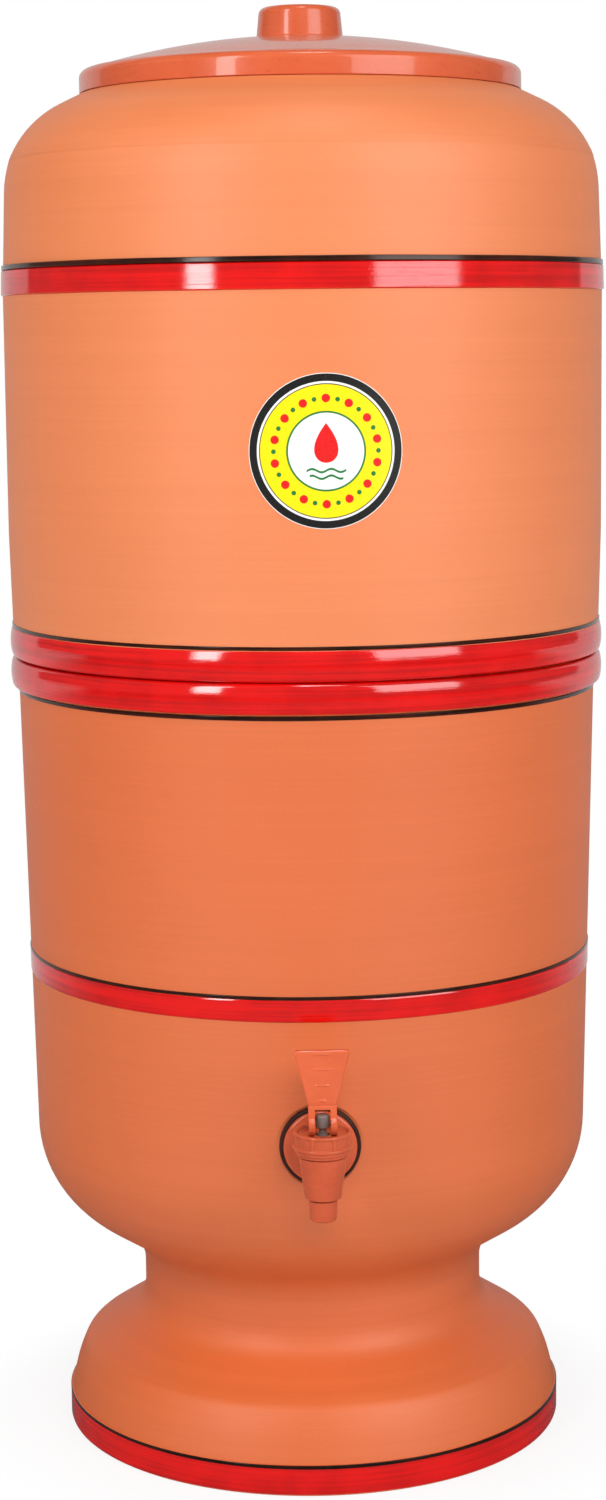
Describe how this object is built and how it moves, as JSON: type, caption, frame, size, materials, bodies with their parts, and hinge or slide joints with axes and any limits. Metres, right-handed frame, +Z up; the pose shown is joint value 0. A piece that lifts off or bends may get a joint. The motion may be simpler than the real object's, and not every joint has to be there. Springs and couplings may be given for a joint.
{
  "type": "clay water filter pot with tap",
  "caption": "Tall two-chamber terracotta water filter pot with a plastic lid, filter candles between the chambers and a small lever tap low on the front.",
  "frame": {"origin": "on the vessels' axis at the table, in the middle of the foot's standing ring", "axes": "+Z up along the vessels' axis, -Y towards the front, where the tap is, +X to the right seen from the front"},
  "size_m": [0.241, 0.2731, 0.577],
  "materials": {
    "clay": "matte fired terracotta with fine turning marks, glazed red and black bands",
    "lid_plastic": "glossy terracotta-coloured plastic",
    "tap_plastic": "terracotta-coloured plastic, half gloss",
    "black_rubber": "matte",
    "silicone": "grey silicone",
    "steel": "plain",
    "fired_white": "matte porous white ceramic",
    "charcoal": "pressed carbon block",
    "white_plastic": "white food-grade plastic"
  },
  "bodies": {
    "base": {"lower_vessel": "clay", "tap_body": "tap_plastic", "tap_outer_washer": "black_rubber", "tap_inner_washer": "black_rubber", "tap_back_nut": "tap_plastic", "tap_cap": "tap_plastic", "valve_skirt": "silicone"},
    "plunger": {"valve_stem": "silicone", "lever_pin": "steel"},
    "lever": {"tap_lever": "tap_plastic"},
    "upper": {"upper_vessel": "clay", "left_candle_dome": "fired_white", "left_candle_core": "charcoal", "left_candle_base": "white_plastic", "left_candle_washer": "black_rubber", "left_wing_nut": "white_plastic", "left_float_housing": "white_plastic", "left_float_pin": "steel", "right_candle_dome": "fired_white", "right_candle_core": "charcoal", "right_candle_base": "white_plastic", "right_candle_washer": "black_rubber", "right_wing_nut": "white_plastic", "right_float_housing": "white_plastic", "right_float_pin": "steel"},
    "left_float_body": {"left_float_arm": "white_plastic", "left_float_pad": "black_rubber", "left_float": "white_plastic"},
    "right_float_body": {"right_float_arm": "white_plastic", "right_float_pad": "black_rubber", "right_float": "white_plastic"},
    "lid_body": {"lid": "lid_plastic"}
  },
  "joints": [
    {"name": "upper_lift", "type": "slide", "parent": "base", "child": "upper", "axis": [0, 0, 1], "range_m": [0, 0.12]},
    {"name": "lid_lift", "type": "slide", "parent": "upper", "child": "lid_body", "axis": [0, 0, 1], "range_m": [0, 0.08]},
    {"name": "plunger_lift", "type": "slide", "parent": "base", "child": "plunger", "axis": [0, 0, 1], "range_m": [0, 0.0026], "deforming": ["valve_skirt"]},
    {"name": "lever_tilt", "type": "hinge", "parent": "plunger", "child": "lever", "pos_m": [0, -0.14143, 0.1609], "axis": [1, 0, 0], "range_deg": [0, 70], "stiffness_Nm_per_rad": 0.08, "springref_deg": -11.46},
    {"name": "left_float_swing", "type": "hinge", "parent": "upper", "child": "left_float_body", "pos_m": [-0.046, 0.0135, 0.28285], "axis": [-1, 0, 0], "range_deg": [0, 24]},
    {"name": "right_float_swing", "type": "hinge", "parent": "upper", "child": "right_float_body", "pos_m": [0.046, 0.0135, 0.28285], "axis": [-1, 0, 0], "range_deg": [0, 24]}
  ],
  "couplings": [
    {"joint": "lever_tilt", "follows": "plunger_lift", "rad_per_m": 469.9}
  ]
}
